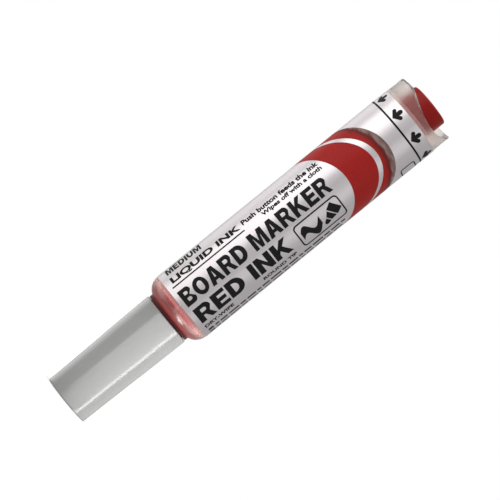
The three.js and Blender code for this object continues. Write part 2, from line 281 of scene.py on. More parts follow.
def barrel_outline():
    """The neck, collar, shoulder and tube from front to rear, then the bore from rear to front."""
    centre = barrel_radius - SHOULDER_ROUND
    inner_round = BARREL_BORE - centre
    meet = math.acos((COLLAR_RADIUS - centre) / SHOULDER_ROUND)
    outside = softened([
        (NECK_BORE, neck_front, 0), (NECK_RADIUS, neck_front, 0.3),
        (NECK_RADIUS, COLLAR_FRONT, 0.1), (COLLAR_RADIUS, COLLAR_FRONT, 0.12),
        (COLLAR_RADIUS, SHOULDER_TOP - SHOULDER_ROUND * math.sin(meet), 0),
    ])
    for k in range(1, SHOULDER_STEPS + 1):
        angle = -meet * (1 - k / SHOULDER_STEPS)
        outside.append(Vector((
            centre + SHOULDER_ROUND * math.cos(angle), SHOULDER_TOP + SHOULDER_ROUND * math.sin(angle),
        )))
    rear = softened([
        (barrel_radius, SHOULDER_TOP, 0), (REAR_RADIUS, rim - SCOOPED_LENGTH, 0), (REAR_RADIUS, rim, 0.25),
        (PUMP_BORE, rim, 0.2), (PUMP_BORE, rim - SCOOPED_LENGTH, 0), (PUMP_BORE, PUMP_SEAT, 0),
        (BARREL_BORE, PUMP_SEAT, 0),
    ])[1:]
    inside = [Vector((BARREL_BORE, RIB_REAR + 0.6)), Vector((BARREL_BORE, RIB_REAR))]
    for k in range(SHOULDER_STEPS // 2 + 1):
        angle = -math.pi * k / SHOULDER_STEPS
        inside.append(Vector((
            centre + inner_round * math.cos(angle), SHOULDER_TOP + inner_round * math.sin(angle),
        )))
    return outside + rear + inside + [Vector((NECK_BORE, SHOULDER_TOP - inner_round))]


def scooped_and_ribbed(radius, height, angle):
    """Lowers the rim into its two thumb scoops, and pulls the bore in to the ribs' tips."""
    across = radius * math.sin(angle)
    scoop = rim - SCOOP_DEPTH + SCOOP_ROUND - math.sqrt(SCOOP_ROUND ** 2 - across ** 2)
    if height > rim - 2:
        height -= max(0, rim - scoop)
    pitch = 360 / RIBS
    from_rib = math.radians((math.degrees(angle) - RIB_PHASE + pitch / 2) % pitch - pitch / 2) * radius
    inside_front = radius <= BARREL_BORE + 0.01 and SHOULDER_TOP - 2 < height < RIB_REAR + 0.3
    if inside_front and abs(from_rib) < RIB_HALF:
        radius = min(radius, RIB_INNER)
    return radius, height


# The first colour is the seat's: the ink's red darkened with painted shade, for the recess between the cap's
# mouth and the shoulder.
barrel = turned("barrel_moulding", barrel_outline(),
                natural_polypropylene("natural_polypropylene_moulded", "#651210", "#A84A45",
                                      ("#F3C2BC", "#EEBAB3"), ("#F3EBE6", "#EDE1DA")),
                facets=360, reshape=scooped_and_ribbed)
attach(barrel, "barrel")
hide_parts("barrel")

# ---------------------------------------------------------------- ink
# A free charge of red liquid ink, filling three quarters of the room before the pump. It is opaque
# after a fraction of a millimetre, so its skin is all that is seen through the wall.

ink_radius, ink_front, ink_top = reach("ink_charge")
INK_INSIDE_RIBS, INK_PAST_RIBS, INK_FRONT_RADIUS = 7.55, RIB_REAR + 0.2, 6.0
INK_HOLLOW_RADIUS, INK_HOLLOW_REAR = 2.5, 41.4  # the room that the collector and feed core take


def clouded(material, place, size, colours, detail=3):
    """A colour that drifts between two, in clouds of a size in millimetres."""
    clouds = add_node(material, "ShaderNodeTexNoise", {
        "Vector": place, "Scale": 1 / (size * MM), "Detail": detail,
    })
    return add_node(material, "ShaderNodeMix", {
        "Factor": clouds, "A": linear(colours[0]), "B": linear(colours[1]),
    }, data_type="RGBA")


def liquid_ink():
    """Alcohol ink: a smooth wet surface over a dark red body, thinner and brighter in streaks."""
    material, shader = start_material("alcohol_ink_red")
    place = add_node(material, "ShaderNodeTexCoord", {}, give="Object")
    tint = clouded(material, place, 9, ("#D83A36", "#BC2A28"), detail=2)
    feed(material, shader, Base_Color=tint, Roughness=0.25, IOR=1.36)
    return material


ink = turned("ink_charge_fine", softened([
    (0, INK_HOLLOW_REAR, 0), (INK_HOLLOW_RADIUS, INK_HOLLOW_REAR, 0), (INK_HOLLOW_RADIUS, ink_front, 0),
    (INK_FRONT_RADIUS, ink_front, 0), (7.3, ink_front + 0.9, 0.8), (INK_INSIDE_RIBS, ink_front + 2.2, 0.4),
    (INK_INSIDE_RIBS, INK_PAST_RIBS, 0), (ink_radius, INK_PAST_RIBS, 0), (ink_radius, ink_top, 0.2),
    (0, ink_top, 0),
]), liquid_ink())
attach(ink, "barrel")
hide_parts("ink_charge")

# ---------------------------------------------------------------- label film
# A printed sleeve of clear film, drawn tight round the barrel. Its inner side is metallised up to
# about a millimetre from each edge, which leaves a clear margin.

film_radius, film_front, film_rear = reach("label_film")
FILM_MARGIN, FILM_DEPTH = 1.1, 0.1
PRINT_DEPTH = 0.02  # how far the coloured inks stand out of the silver ground
PRINT_LIFT = 0.005  # a few microns that keep the inks clear of the ground
SILVER_RADIUS = film_radius - 0.035  # leaves room for the inks inside the film's own radius


def film_radius_at(height):
    """The silver ground's radius: the barrel tapers a little towards its rear."""
    along = (height - SHOULDER_TOP) / (rim - SHOULDER_TOP)
    return SILVER_RADIUS + along * (REAR_RADIUS - barrel_radius)


def silver_print():
    """Vacuum-metallised film under clear gloss: a soft metal sheen with faint lengthwise drawing
    lines and a slight cockle where the film has shrunk unevenly."""
    material, shader = start_material("metallised_film_gravure")
    place = add_node(material, "ShaderNodeTexCoord", {}, give="Object")
    drawn = add_node(material, "ShaderNodeMapping", {"Vector": place, "Scale": (1, 1, 0.04)})
    lines = add_node(material, "ShaderNodeTexNoise", {
        "Vector": drawn, "Scale": 1 / (0.9 * MM), "Detail": 4,
    })
    tint = add_node(material, "ShaderNodeMix", {
        "Factor": lines, "A": linear("#CBC5C7"), "B": linear("#D6D1D2"),
    }, data_type="RGBA")
    gloss = add_node(material, "ShaderNodeMapRange", {
        "Value": lines, "To Min": 0.36, "To Max": 0.46,
    })
    cockle = add_node(material, "ShaderNodeTexNoise", {"Vector": place, "Scale": 1 / (7 * MM), "Detail": 2})
    bump = add_node(material, "ShaderNodeBump", {
        "Height": cockle, "Strength": 0.25, "Distance": 0.25 * MM,
    })
    feed(material, shader, Base_Color=tint, Roughness=gloss, Normal=bump, Metallic=0.9)
    return material


def clear_film():
    """The film's unprinted margin: glossy, all but invisible, and a little hazy from handling."""
    material, shader = start_material("clear_film_margin")
    place = add_node(material, "ShaderNodeTexCoord", {}, give="Object")
    haze = add_node(material, "ShaderNodeTexNoise", {"Vector": place, "Scale": 1 / (2 * MM), "Detail": 3})
    gloss = add_node(material, "ShaderNodeMapRange", {
        "Value": haze, "To Min": 0.1, "To Max": 0.25,
    })
    feed(material, shader, Base_Color=linear("#EFD5D0"), Roughness=gloss, IOR=1.5, Alpha=0.08)
    return material


def film_sleeve(name, front, rear, material, turn_in=0.0):
    """A thin ring of the film between two heights, its front edge turned in over the shoulder."""
    knee = max(front, SHOULDER_TOP)
    radius_front, radius_rear = film_radius_at(knee), film_radius_at(rear)
    outline = [Vector((radius_front - turn_in - FILM_DEPTH, front)), Vector((radius_front - turn_in, front))]
    if knee > front:
        outline.append(Vector((radius_front, knee)))
    outline += [Vector((radius_rear, rear)), Vector((radius_rear - FILM_DEPTH, rear))]
    if knee > front:
        outline.append(Vector((radius_front - FILM_DEPTH, knee)))
    return turned(name, outline, material)


print_front, print_rear = film_front + FILM_MARGIN, film_rear - FILM_MARGIN + 0.2
silver = film_sleeve("label_silver_ground", print_front, print_rear, silver_print())
margin = clear_film()
front_margin = film_sleeve("label_clear_margin_front", film_front, print_front, margin, turn_in=0.1)
rear_margin = film_sleeve("label_clear_margin_rear", print_rear, film_rear, margin)
for sleeve in (silver, front_margin, rear_margin):
    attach(sleeve, "barrel")
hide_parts("label_film")

# ---------------------------------------------------------------- printing on the label
# Black and red gravure inks over the silver: plain words that say what the marker is, a ring with
# arrows that point to the cap, and a red swoosh that tells the ink's colour. Words run along
# the marker from the cap, and angles turn from -Y towards +X.

NEAR = -30.5  # the angle of the label's front, where the words stand


def ink_print(name, colours, roughness):
    """Gravure ink on film: even colour, with the fine mottle of the cells it was laid from."""
    material, shader = start_material(name)
    place = add_node(material, "ShaderNodeTexCoord", {}, give="Object")
    tint = clouded(material, place, 0.6, colours)
    feed(material, shader, Base_Color=tint, Roughness=roughness, Specular_IOR_Level=0.1)
    return material


def bowl(left, right, bottom, top, back=0.0):
    """An outline with a round right side and a left side rounded by back, as letters have."""
    corner = min((top - bottom) / 2, right - left - back)
    outline = []
    for x, y, round_x, start in (
        (right, bottom, corner, -90), (right, top, corner, 0),
        (left, top, back, 90), (left, bottom, back, 180),
    ):
        round_y = min(round_x, (top - bottom) / 2) if round_x else 0
        side = -1 if x == right else 1
        rise = 1 if y == bottom else -1
        for k in range(9 if round_x else 1):
            angle = math.radians(start + 90 * k / 8)
            outline.append((
                x + side * round_x + round_x * math.cos(angle) if round_x else x,
                y + rise * round_y + round_y * math.sin(angle) if round_x else y,
            ))
    return outline


def grotesque(letter):
    """A heavy upright capital in the plainest block form, 1 high: its width and its outlines,
    the first the body and the rest holes."""
    s, t = 0.3, 0.22  # thickness of stems and of crossbars
    if letter == "A":
        low, high = 0.31 * 0.19 + 1.02 * s, 0.31 * 0.37 + 1.02 * s  # the leg's inner side at the crossbar
        return 0.98, [
            [(0, 0), (s, 0), (low, 0.19), (0.98 - low, 0.19), (0.98 - s, 0), (0.98, 0), (0.67, 1),
             (0.31, 1)],
            [(high, 0.37), (0.49, 0.75), (0.98 - high, 0.37)],
        ]
    if letter == "B":
        return 0.88, [
            bowl(0, 0.88, 0, 0.56)[:9] + [(0.6, 0.53)] + bowl(0, 0.84, 0.5, 1)[9:18] + [(0, 1), (0, 0)],
            bowl(s, 0.6, t, 0.42), bowl(s, 0.57, 0.6, 1 - t),
        ]
    if letter == "D":
        return 0.92, [bowl(0, 0.92, 0, 1), bowl(s, 0.92 - s, t, 1 - t)]
    if letter == "O":
        return 1.0, [bowl(0, 1.0, 0, 1, back=0.5), bowl(s, 1.0 - s, t, 1 - t, back=0.23)]
    if letter == "E":
        return 0.78, [[
            (0, 0), (0.78, 0), (0.78, t), (s, t), (s, 0.5 - t / 2), (0.72, 0.5 - t / 2), (0.72, 0.5 + t / 2),
            (s, 0.5 + t / 2), (s, 1 - t), (0.78, 1 - t), (0.78, 1), (0, 1),
        ]]
    if letter == "U":
        half_turn = [math.radians(15 * k) for k in range(13)]
        outer = [(0.47 - 0.47 * math.cos(a), 0.4 - 0.4 * math.sin(a)) for a in half_turn]
        inner = [(0.47 + (0.47 - s) * math.cos(a), 0.4 - (0.4 - t) * math.sin(a)) for a in half_turn]
        return 0.94, [[(0, 1)] + outer + [(0.94, 1), (0.94 - s, 1)] + inner + [(s, 1)]]
    if letter == "I":
        return s, [[(0, 0), (s, 0), (s, 1), (0, 1)]]
    if letter == "K":
        return 0.98, [[
            (0, 0), (s, 0), (s, 0.28), (0.4, 0.44), (0.66, 0), (0.98, 0), (0.6, 0.62), (0.96, 1), (0.62, 1),
            (s, 0.6), (s, 1), (0, 1),
        ]]
    if letter == "M":
        stem = 0.9 * s
        return 1.12, [[
            (0, 0), (stem, 0), (stem, 0.68), (0.45, 0), (0.67, 0), (1.12 - stem, 0.68), (1.12 - stem, 0),
            (1.12, 0), (1.12, 1), (0.76, 1), (0.56, 0.38), (0.36, 1), (0, 1),
        ]]
    if letter == "N":
        return 0.9, [[
            (0, 0), (s, 0), (s, 0.58), (0.62, 0), (0.9, 0), (0.9, 1), (0.9 - s, 1), (0.9 - s, 0.42),
            (0.28, 1), (0, 1),
        ]]
    return 0.93, [  # R
        bowl(0, 0.88, 0.4, 1)[9:18] + [(0, 1), (0, 0), (s, 0), (s, 0.38), (0.42, 0.38), (0.64, 0), (0.93, 0),
                                       (0.7, 0.42)],
        bowl(s, 0.61, 0.56, 1 - t),
    ]


def worked_out(piece):
    """The mesh that a piece's curve or modifiers come to."""
    bpy.context.view_layer.update()
    return bpy.data.meshes.new_from_object(piece.evaluated_get(bpy.context.evaluated_depsgraph_get()))


def flat_curve(curve, width, height):
    """A filled flat curve as a mesh of that size in millimetres, lower left at the origin."""
    holder = bpy.data.objects.new("flat", curve)
    bpy.context.scene.collection.objects.link(holder)
    mesh = worked_out(holder)
    bpy.data.objects.remove(holder)
    xs, ys = [v.co.x for v in mesh.vertices], [v.co.y for v in mesh.vertices]
    for v in mesh.vertices:
        v.co.x = (v.co.x - min(xs)) * width / (max(xs) - min(xs))
        v.co.y = (v.co.y - min(ys)) * height / (max(ys) - min(ys))
        v.co.z = 0
    return mesh


def outlined(outlines):
    """Closed outlines as one flat filled curve. An outline inside another is a hole."""
    curve = bpy.data.curves.new("outlines", "CURVE")
    curve.dimensions = "2D"
    curve.fill_mode = "FRONT"
    for outline in outlines:
        spline = curve.splines.new("POLY")
        spline.points.add(len(outline) - 1)
        for point, (x, y) in zip(spline.points, outline):
            point.co = (x, y, 0, 1)
        spline.use_cyclic_u = True
    return curve


WORD_SPACE, LETTER_SPACE = 0.38, 0.09  # of a capital's height


def block_words(words, width, height):
    """Words in heavy block capitals as a flat mesh."""
    outlines, x = [], 0
    for letter in words:
        if letter == " ":
            x += WORD_SPACE
            continue
        advance, parts = grotesque(letter)
        outlines += [[(x + px, py) for px, py in part] for part in parts]
        x += advance + LETTER_SPACE
    return flat_curve(outlined(outlines), width, height)


def plain_words(words, width, height, bold):
    """Words in a plain light face, thickened by bold, as a flat mesh."""
    curve = bpy.data.curves.new("words", "FONT")
    curve.body = words
    curve.offset = bold
    curve.resolution_u = 4
    return flat_curve(curve, width, height)


WRAP_STEP = 0.45  # the widest strip of print that is left flat as it goes round


def wrapped(name, prints, material):
    """Lays flat prints round the film as one piece. Each print is its mesh, the height of its
    left end, and the degrees from the label's front to its foot."""
    whole = bmesh.new()
    for flat, along, angle in prints:
        part = bmesh.new()
        part.from_mesh(flat)
        bmesh.ops.remove_doubles(part, verts=part.verts[:], dist=1e-5)
        ys = [v.co.y for v in part.verts]
        cuts = math.ceil((max(ys) - min(ys)) / WRAP_STEP)
        for k in range(1, cuts):
            level = min(ys) + (max(ys) - min(ys)) * k / cuts
            everything = part.verts[:] + part.edges[:] + part.faces[:]
            bmesh.ops.bisect_plane(part, geom=everything, plane_co=(0, level, 0), plane_no=(0, 1, 0))
        raised = bmesh.ops.extrude_face_region(part, geom=part.faces[:], use_keep_orig=True)["geom"]
        for v in raised:
            if isinstance(v, bmesh.types.BMVert):
                v.co.z = PRINT_DEPTH
        for v in part.verts:
            height = along + v.co.x
            radius = film_radius_at(height) + PRINT_LIFT + v.co.z
            turn = math.radians(NEAR + angle) - v.co.y / SILVER_RADIUS
            v.co = Vector((radius * math.sin(turn), -radius * math.cos(turn), height)) * MM
        bmesh.ops.recalc_face_normals(part, faces=part.faces[:])
        scrap = bpy.data.meshes.new("scrap")
        part.to_mesh(scrap)
        part.free()
        whole.from_mesh(scrap)
    mesh = bpy.data.meshes.new(name)
    whole.to_mesh(mesh)
    whole.free()
    piece = finish_mesh(name, mesh, material)
    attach(piece, "barrel")
    return piece


def wrapped_band(name, front_edge, rear_edge, material, facets=180):
    """A printed band all round the film. Each edge gives a height for an angle."""
    solid = bmesh.new()
    columns = []
    for k in range(facets):
        angle = 2 * math.pi * k / facets
        column = []
        for height, depth in (
            (front_edge(angle), 0), (front_edge(angle), PRINT_DEPTH),
            (rear_edge(angle), PRINT_DEPTH), (rear_edge(angle), 0),
        ):
            radius = film_radius_at(height) + PRINT_LIFT + depth
            place = Vector((radius * math.sin(angle), -radius * math.cos(angle), height))
            column.append(solid.verts.new(place * MM))
        columns.append(column)
    for k in range(facets):
        here, there = columns[k], columns[(k + 1) % facets]
        for i in range(4):
            n = (i + 1) % 4
            solid.faces.new([here[i], there[i], there[n], here[n]])
    mesh = bpy.data.meshes.new(name)
    solid.to_mesh(mesh)
    solid.free()
    piece = finish_mesh(name, mesh, material)
    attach(piece, "barrel")
    return piece


black_ink = ink_print("gravure_ink_black", ("#101011", "#171718"), 0.5)
wrapped("label_words", [
    (block_words("MEDIUM", 11.3, 3.2), 40.7, -57.0),
    (plain_words("LIQUID INK", 22.5, 2.5, 0.045), 40.5, -34.0),
    (block_words("BOARD MARKER", 47.8, 4.85), 39.8, 7.3),
    (block_words("RED INK", 30.3, 4.85), 40.0, 42.3),
    (plain_words("Push button feeds the ink", 24.9, 1.75, 0.04), 63.9, -38.2),
    (plain_words("Wipes off with a cloth", 19.5, 1.75, 0.04), 69.4, -26.0),
    (plain_words("DRY-WIPE", 9.4, 1.2, 0.035), 40.0, 55.6),
    (plain_words("ROUND TIP", 11.0, 1.1, 0.035), 59.4, 55.2),
], black_ink)


def rounded_box(left, bottom, right, top, corner):
    """A rectangle's outline with round corners."""
    outline = []
    for x, y, start in (
        (right - corner, bottom + corner, -90), (right - corner, top - corner, 0),
        (left + corner, top - corner, 90), (left + corner, bottom + corner, 180),
    ):
        quarter = [math.radians(start + 15 * k) for k in range(7)]
        outline += [(x + corner * math.cos(a), y + corner * math.sin(a)) for a in quarter]
    return outline


SIGN_WIDTH, SIGN_HEIGHT, SIGN_LINE = 14.4, 7.3, 0.4
WAVE_LENGTH, WAVE_RISE, WAVE_HALF_WIDTH = 5.6, 1.3, 1.25


def marker_sign():
    """A framed sign: a round-tipped marker that draws a thick wavy line."""
    frame_line = [
        rounded_box(0, 0, SIGN_WIDTH, SIGN_HEIGHT, 1.2),
        rounded_box(SIGN_LINE, SIGN_LINE, SIGN_WIDTH - SIGN_LINE, SIGN_HEIGHT - SIGN_LINE, 0.85),
    ]
    wave = [
        (1.1 + 0.3 * k, 3.3 + WAVE_RISE * math.sin(0.3 * k * 2 * math.pi / WAVE_LENGTH)) for k in range(22)
    ]
    stroke = [(x, y - WAVE_HALF_WIDTH) for x, y in wave]
    stroke += [(x, y + WAVE_HALF_WIDTH) for x, y in reversed(wave)]
    tip, lean = Vector((7.9, 1.7)), Matrix.Rotation(math.radians(33), 2)
    sections = [
        [(0, 0.25), (0.35, 0.6), (1.5, 0.85), (1.5, -0.85), (0.35, -0.6), (0, -0.25)],
        [(1.8, 0.95), (3.4, 1.6), (3.4, -1.6), (1.8, -0.95)],
        [(3.7, 1.85), (5.9, 1.85), (5.9, -1.85), (3.7, -1.85)],
    ]
    return frame_line + [stroke] + [[tuple(tip + lean @ Vector(p)) for p in part] for part in sections]


def fine_print(length, height):
    """A line too small to read, as a row of short bars of uneven length."""
    bars, x, k = [rounded_box(0, 0, 1.5, height, 0.1)], 2.1, 0
    while x < length - 3:
        bar = 1.2 + 0.5 * ((7 * k) % 5)
        bars.append(rounded_box(x, 0.15 * height, x + bar, 0.85 * height, 0.1))
        x, k = x + bar + 0.45, k + 1
    return flat_curve(outlined(bars), length, height)


RULE_LENGTH, RULE_WIDTH = 23.8, 0.4
BOX_LENGTH, BOX_HEIGHT, BOX_LINE = 4.7, 4.6, 0.36
rule = outlined([rounded_box(0, 0, RULE_LENGTH, RULE_WIDTH, 0.15)])
empty_box = outlined([
    rounded_box(0, 0, BOX_LENGTH, BOX_HEIGHT, 0.9),
    rounded_box(BOX_LINE, BOX_LINE, BOX_LENGTH - BOX_LINE, BOX_HEIGHT - BOX_LINE, 0.55),
])
wrapped("label_signs", [
    (flat_curve(outlined(marker_sign()), SIGN_WIDTH, SIGN_HEIGHT), 72.9, 54.7),
    (flat_curve(rule, RULE_LENGTH, RULE_WIDTH), 39.7, -29.0),
    (fine_print(45.3, 0.95), 40.2, 67.4),
    (fine_print(44.0, 0.95), 40.2, 78.0),
    (flat_curve(empty_box, BOX_LENGTH, BOX_HEIGHT), 104.1, 85.0),
], black_ink)

ARROWS, ARROW_FRONT, ARROW_LENGTH, ARROW_WIDTH = 8, 110.95, 3.2, 3.7
FIRST_ARROW = 25.5  # degrees from the label's front to the first arrow's middle


def round_end(x, y, radius, start):
    """Half a circle of an outline, from an angle in degrees."""
    half_turn = [math.radians(start + 20 * k) for k in range(10)]
    return [(x + radius * math.cos(a), y + radius * math.sin(a)) for a in half_turn]


def arrow_outline():
    """A stout arrow that points to -x, its tip at the origin, with round barbs and a round tail."""
    stem, barb, notch = 0.62, 0.56, 1.75
    reach_back, splay = 1.6, ARROW_WIDTH / 2 - barb
    lean = math.degrees(math.atan2(splay, reach_back))
    return (
        [(0, 0)] + round_end(reach_back, -splay, barb, -90 - lean) + [(notch, -stem)]
        + round_end(ARROW_LENGTH - stem, 0, stem, -90) + [(notch, stem)]
        + round_end(reach_back, splay, barb, lean - 90)
    )


arrow = flat_curve(outlined([arrow_outline()]), ARROW_LENGTH, ARROW_WIDTH)
half_arrow = math.degrees(ARROW_WIDTH / 2 / SILVER_RADIUS)
wrapped("label_arrows", [
    (arrow, ARROW_FRONT, 360 / ARROWS * k + FIRST_ARROW + half_arrow) for k in range(ARROWS)
], black_ink)

RING_HEIGHT, RING_WIDTH = 110.35, 0.52
wrapped_band("label_ring_line", lambda a: RING_HEIGHT - RING_WIDTH / 2,
             lambda a: RING_HEIGHT + RING_WIDTH / 2, black_ink)


def slanted_edge(height, rise, lean=0):
    """An edge cut by a slanting plane: highest lean degrees round from the label's front."""
    return lambda angle: height + rise * math.cos(angle - math.radians(NEAR + lean))


BROWN_EDGE, BROWN_EDGE_RISE, BROWN_EDGE_LEAN = 97.7, 6.4, 3
WAVER = 0.2  # how far the browned edge strays to either side


def swoosh_ink():
    """The red of the swoosh. Near the rear band's rear edge, along a slanting line, the red turns to
    maroon and then to a smeared grey-brown."""
    material, shader = start_material("gravure_ink_red")
    place = add_node(material, "ShaderNodeTexCoord", {}, give="Object")
    lean = math.radians(NEAR + BROWN_EDGE_LEAN)
    slope = BROWN_EDGE_RISE / SILVER_RADIUS
    height = add_node(material, "ShaderNodeVectorMath", {
        0: place, 1: (-slope * math.sin(lean), slope * math.cos(lean), 1),
    }, give="Value", operation="DOT_PRODUCT")
    wiped = add_node(material, "ShaderNodeMapping", {"Vector": place, "Scale": (0.25, 0.25, 1)})
    smear = add_node(material, "ShaderNodeTexNoise", {"Vector": wiped, "Scale": 1 / (0.8 * MM), "Detail": 3})
    waver = add_node(material, "ShaderNodeMapRange", {
        "Value": smear, "From Min": 0.3, "From Max": 0.7, "To Min": -WAVER * MM, "To Max": WAVER * MM,
    })
    wavered = add_node(material, "ShaderNodeMath", {0: height, 1: waver}, operation="ADD")
    toward_maroon = add_node(material, "ShaderNodeMapRange", {
        "Value": wavered, "From Min": (BROWN_EDGE - 1.8) * MM, "From Max": (BROWN_EDGE - 0.4) * MM,
    }, interpolation_type="SMOOTHSTEP")
    toward_brown = add_node(material, "ShaderNodeMapRange", {
        "Value": wavered, "From Min": (BROWN_EDGE - 0.3) * MM, "From Max": (BROWN_EDGE + 0.5) * MM,
    }, interpolation_type="SMOOTHSTEP")
    red = clouded(material, place, 0.9, ("#8B1B18", "#7D1715"))
    maroon = add_node(material, "ShaderNodeMix", {
        "Factor": toward_maroon, "A": red, "B": linear("#561C1B"),
    }, data_type="RGBA")
    smeared = add_node(material, "ShaderNodeMapRange", {"Value": smear, "From Min": 0.35, "From Max": 0.65})
    brown = add_node(material, "ShaderNodeMix", {
        "Factor": smeared, "A": linear("#553E3A"), "B": linear("#786460"),
    }, data_type="RGBA")
    tint = add_node(material, "ShaderNodeMix", {
        "Factor": toward_brown, "A": maroon, "B": brown,
    }, data_type="RGBA")
    feed(material, shader, Base_Color=tint, Roughness=0.45, Specular_IOR_Level=0.1)
    return material


red_ink = swoosh_ink()
wrapped_band("label_swoosh_front", slanted_edge(84.0, 8.15, 4.3), slanted_edge(89.9, 10.75, 4.9), red_ink)
wrapped_band("label_swoosh_rear", slanted_edge(91.4, 10.8, 4.2), slanted_edge(97.4, 8.35, 4.9), red_ink)

# ---------------------------------------------------------------- tip holder
# The front section, moulded in white polypropylene: a nose round the nib, a flange that stops on
# the neck, and a stem that is pressed into the neck's bore. A slot beside the nib lets air in.

holder_radius, nose, stem_rear = reach("tip_holder")
STEM_RADIUS, HOLDER_BORE, NIB_BORE = 5.05, 4.0, 2.65
FLANGE_FRONT, FLANGE_REAR, COUNTERBORE = 26.3, 27.35, 19.0
GROOVE_FRONT, GROOVE_REAR, GROOVE_FLOOR = 30.2, 31.1, 4.4
AIR_SLOT_HALF, AIR_SLOT_DEPTH = 0.4, 0.6
NOSE_RADIUS, NOSE_SWELL, NOSE_SWELL_AT = 3.3, 4.5, 16.0
LIP_SEAT_RADIUS, LIP_SEAT_FRONT, LIP_SEAT_REAR = 4.68, 17.2, 19.4  # where the cap's liner seals
SKIRT_FRONT, SKIRT_FRONT_RADIUS, SKIRT_REAR_RADIUS = 20.0, 5.3, 5.7
BEHIND_ALL = 200.0  # a height past every piece, for mouldings that the ink doesn't reach
HOLDER_STAIN = 28.0


def satin_moulding(name, colours, roughness, stained_past=BEHIND_ALL):
    """Moulded polyolefin: a waxy satin skin, a little cloudy where the melt cooled last. Past a
    height the ink has stained it red."""
    material, shader = start_material(name)
    place = add_node(material, "ShaderNodeTexCoord", {}, give="Object")
    cloud = add_node(material, "ShaderNodeTexNoise", {"Vector": place, "Scale": 1 / (4 * MM), "Detail": 3})
    height = add_node(material, "ShaderNodeSeparateXYZ", {"Vector": place}, give="Z")
    clean = add_node(material, "ShaderNodeMix", {
        "Factor": cloud, "A": linear(colours[0]), "B": linear(colours[1]),
    }, data_type="RGBA")
    stain = add_node(material, "ShaderNodeMix", {
        "Factor": cloud, "A": linear("#C4443E"), "B": linear("#D65650"),
    }, data_type="RGBA")
    in_ink = add_node(material, "ShaderNodeMapRange", {
        "Value": height, "From Min": (stained_past - 0.4) * MM, "From Max": (stained_past + 0.4) * MM,
    })
    tint = add_node(material, "ShaderNodeMix", {
        "Factor": in_ink, "A": clean, "B": stain,
    }, data_type="RGBA")
    grain = add_node(material, "ShaderNodeTexNoise", {"Vector": place, "Scale": 1 / (0.3 * MM), "Detail": 2})
    bump = add_node(material, "ShaderNodeBump", {
        "Height": grain, "Strength": 0.1, "Distance": 0.02 * MM,
    })
    feed(material, shader, Base_Color=tint, Normal=bump, Roughness=roughness, IOR=1.49)
    return material


def air_slotted(radius, height, angle):
    """Opens the nib's bore outwards along a slot at -Y."""
    from_slot = (angle + math.pi) % (2 * math.pi) - math.pi
    if radius < NIB_BORE + 0.3 and height < COUNTERBORE + 0.1 and abs(from_slot) * radius < AIR_SLOT_HALF:
        radius += AIR_SLOT_DEPTH
    return radius, height


tip_holder = turned("tip_holder_fine", softened([
    (NOSE_RADIUS, nose, 0), (NOSE_RADIUS + 0.3, nose + 0.3, 0.2), (NOSE_SWELL, NOSE_SWELL_AT, 2.0),
    (LIP_SEAT_RADIUS, LIP_SEAT_FRONT, 0.4), (LIP_SEAT_RADIUS, LIP_SEAT_REAR, 0.4),
    (SKIRT_FRONT_RADIUS, SKIRT_FRONT, 0.4), (SKIRT_REAR_RADIUS, FLANGE_FRONT, 0.15),
    (holder_radius, FLANGE_FRONT, 0.2),
    (holder_radius, FLANGE_REAR, 0.15), (STEM_RADIUS, FLANGE_REAR, 0.1), (STEM_RADIUS, GROOVE_FRONT, 0.05),
    (GROOVE_FLOOR, GROOVE_FRONT, 0.05), (GROOVE_FLOOR, GROOVE_REAR, 0.05), (STEM_RADIUS, GROOVE_REAR, 0.05),
    (STEM_RADIUS, stem_rear, 0.2), (HOLDER_BORE, stem_rear, 0.15), (HOLDER_BORE, COUNTERBORE, 0.1),
    (NIB_BORE, COUNTERBORE, 0.1), (NIB_BORE, nose, 0.15),
]), satin_moulding("white_polypropylene_moulded", ("#E6E4DF", "#F0EEEA"), 0.3, stained_past=HOLDER_STAIN),
   reshape=air_slotted)
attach(tip_holder, "barrel")
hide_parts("tip_holder")

# ---------------------------------------------------------------- holder's O-ring
# Nitrile rubber, in the groove of the holder's stem. It keeps the ink from creeping out between
# the stem and the neck.

RING_FACETS = 96


def nitrile_rubber():
    """Compression-moulded rubber: black, matt, with a faint grey bloom in patches."""
    material, shader = start_material("nitrile_rubber_moulded")
    place = add_node(material, "ShaderNodeTexCoord", {}, give="Object")
    tint = clouded(material, place, 1.5, ("#1B1B1C", "#333335"), detail=4)
    feed(material, shader, Base_Color=tint, Roughness=0.65, IOR=1.52)
    return material


def o_ring(name, node, thickness, material):
    """A ring of round section, with the CAD ring's outer radius and middle height."""
    low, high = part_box(node)
    middle, round_radius = (low.z + high.z) / 2 / MM, thickness / 2
    section = [
        (high.x / MM - round_radius + round_radius * math.cos(a), middle + round_radius * math.sin(a))
        for a in [math.radians(15 * k) for k in range(24)]
    ]
    ring = turned(name, section, material, facets=RING_FACETS)
    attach(ring, "barrel")
    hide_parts(node)


rubber = nitrile_rubber()
o_ring("holder_o_ring_fine", "holder_o_ring", 0.72, rubber)

# ---------------------------------------------------------------- ink collector
# A comb of thin fins in polypropylene, stained by the ink it holds. Its gaps take up ink when the
# air in the barrel swells. One slot along it feeds them all.

collector_radius, collector_front, collector_rear = reach("ink_collector")
COLLECTOR_CORE, COLLECTOR_BORE, SLOT_HALF = 2.0, 1.35, 0.3
FINS, FIRST_FIN, FIN_PITCH, FIN_THICK, FIN_RADIUS = 7, 21.2, 1.8, 0.7, 3.85
COLLECTOR_FLANGE, COLLECTOR_FLANGE_REAR = 34.75, 35.55


def ink_slotted(radius, height, angle):
    """Cuts the fins down to just above the bore along a slot at +Y."""
    in_slot = abs(angle - math.pi) * radius < SLOT_HALF and height < COLLECTOR_FLANGE - 0.9
    return (COLLECTOR_BORE + 0.06 if in_slot and radius > COLLECTOR_BORE else radius), height


